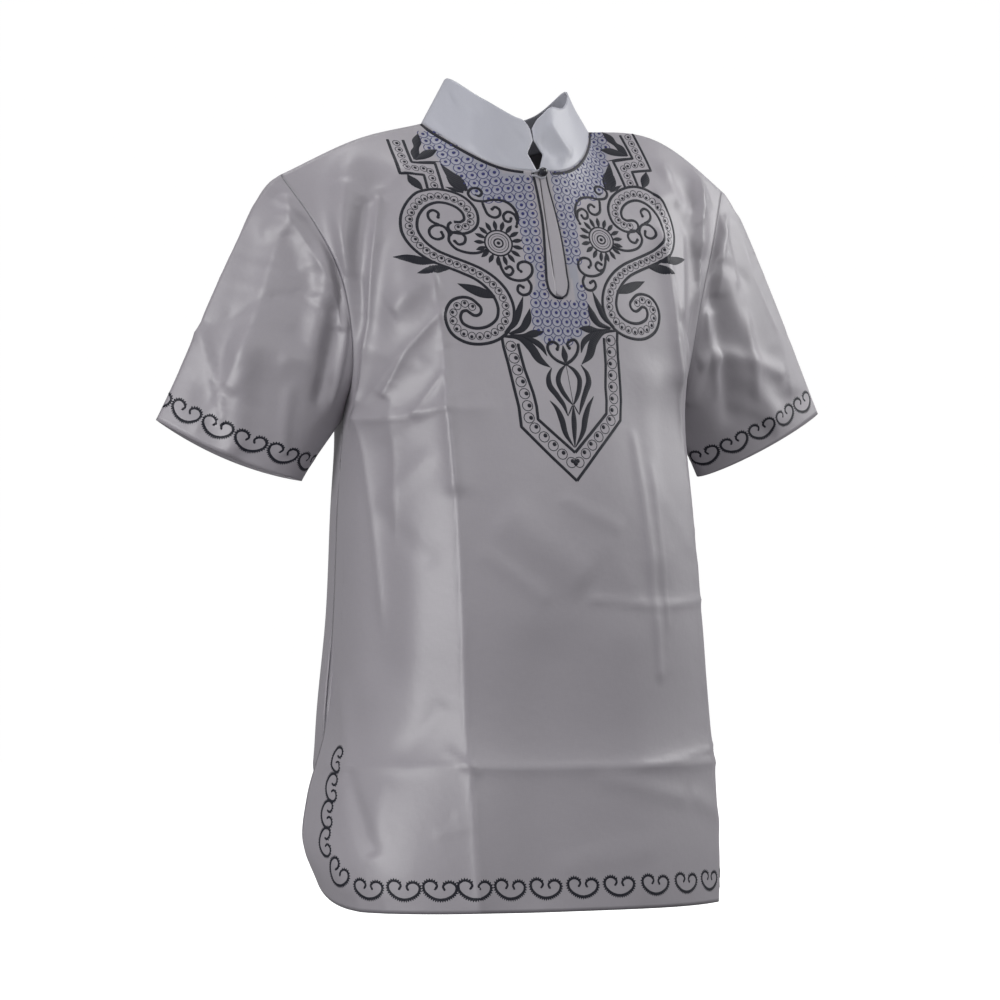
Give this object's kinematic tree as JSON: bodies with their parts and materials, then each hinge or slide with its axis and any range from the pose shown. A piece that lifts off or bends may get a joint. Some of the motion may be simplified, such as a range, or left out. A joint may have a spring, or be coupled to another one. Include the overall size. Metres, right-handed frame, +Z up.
{
  "type": "dashiki shirt",
  "caption": "Short-sleeved dashiki shirt filled out as worn, with a split stand collar, a ball button in a loop above a strip-edged neck slit, and side vents; hollow, open at every end.",
  "frame": {"origin": "on the shoulder line, midway between the neck ends of the two shoulder seams", "axes": "+Z up from hem to collar, the front faces -Y, the wearer's right hand is towards -X"},
  "size_m": [0.7268, 0.3153, 0.82],
  "materials": {
    "poplin": "crisp pressed poly-cotton with a soft sheen",
    "collar_poplin": "stiffened poly-cotton with a soft sheen",
    "resin": "polished dark resin"
  },
  "bodies": {
    "root": {"front": "poplin", "back": "poplin", "sleeve_right": "poplin", "sleeve_left": "poplin", "collar": "collar_poplin", "placket": "poplin", "button": "resin", "button_loop": "poplin"}
  },
  "joints": []
}
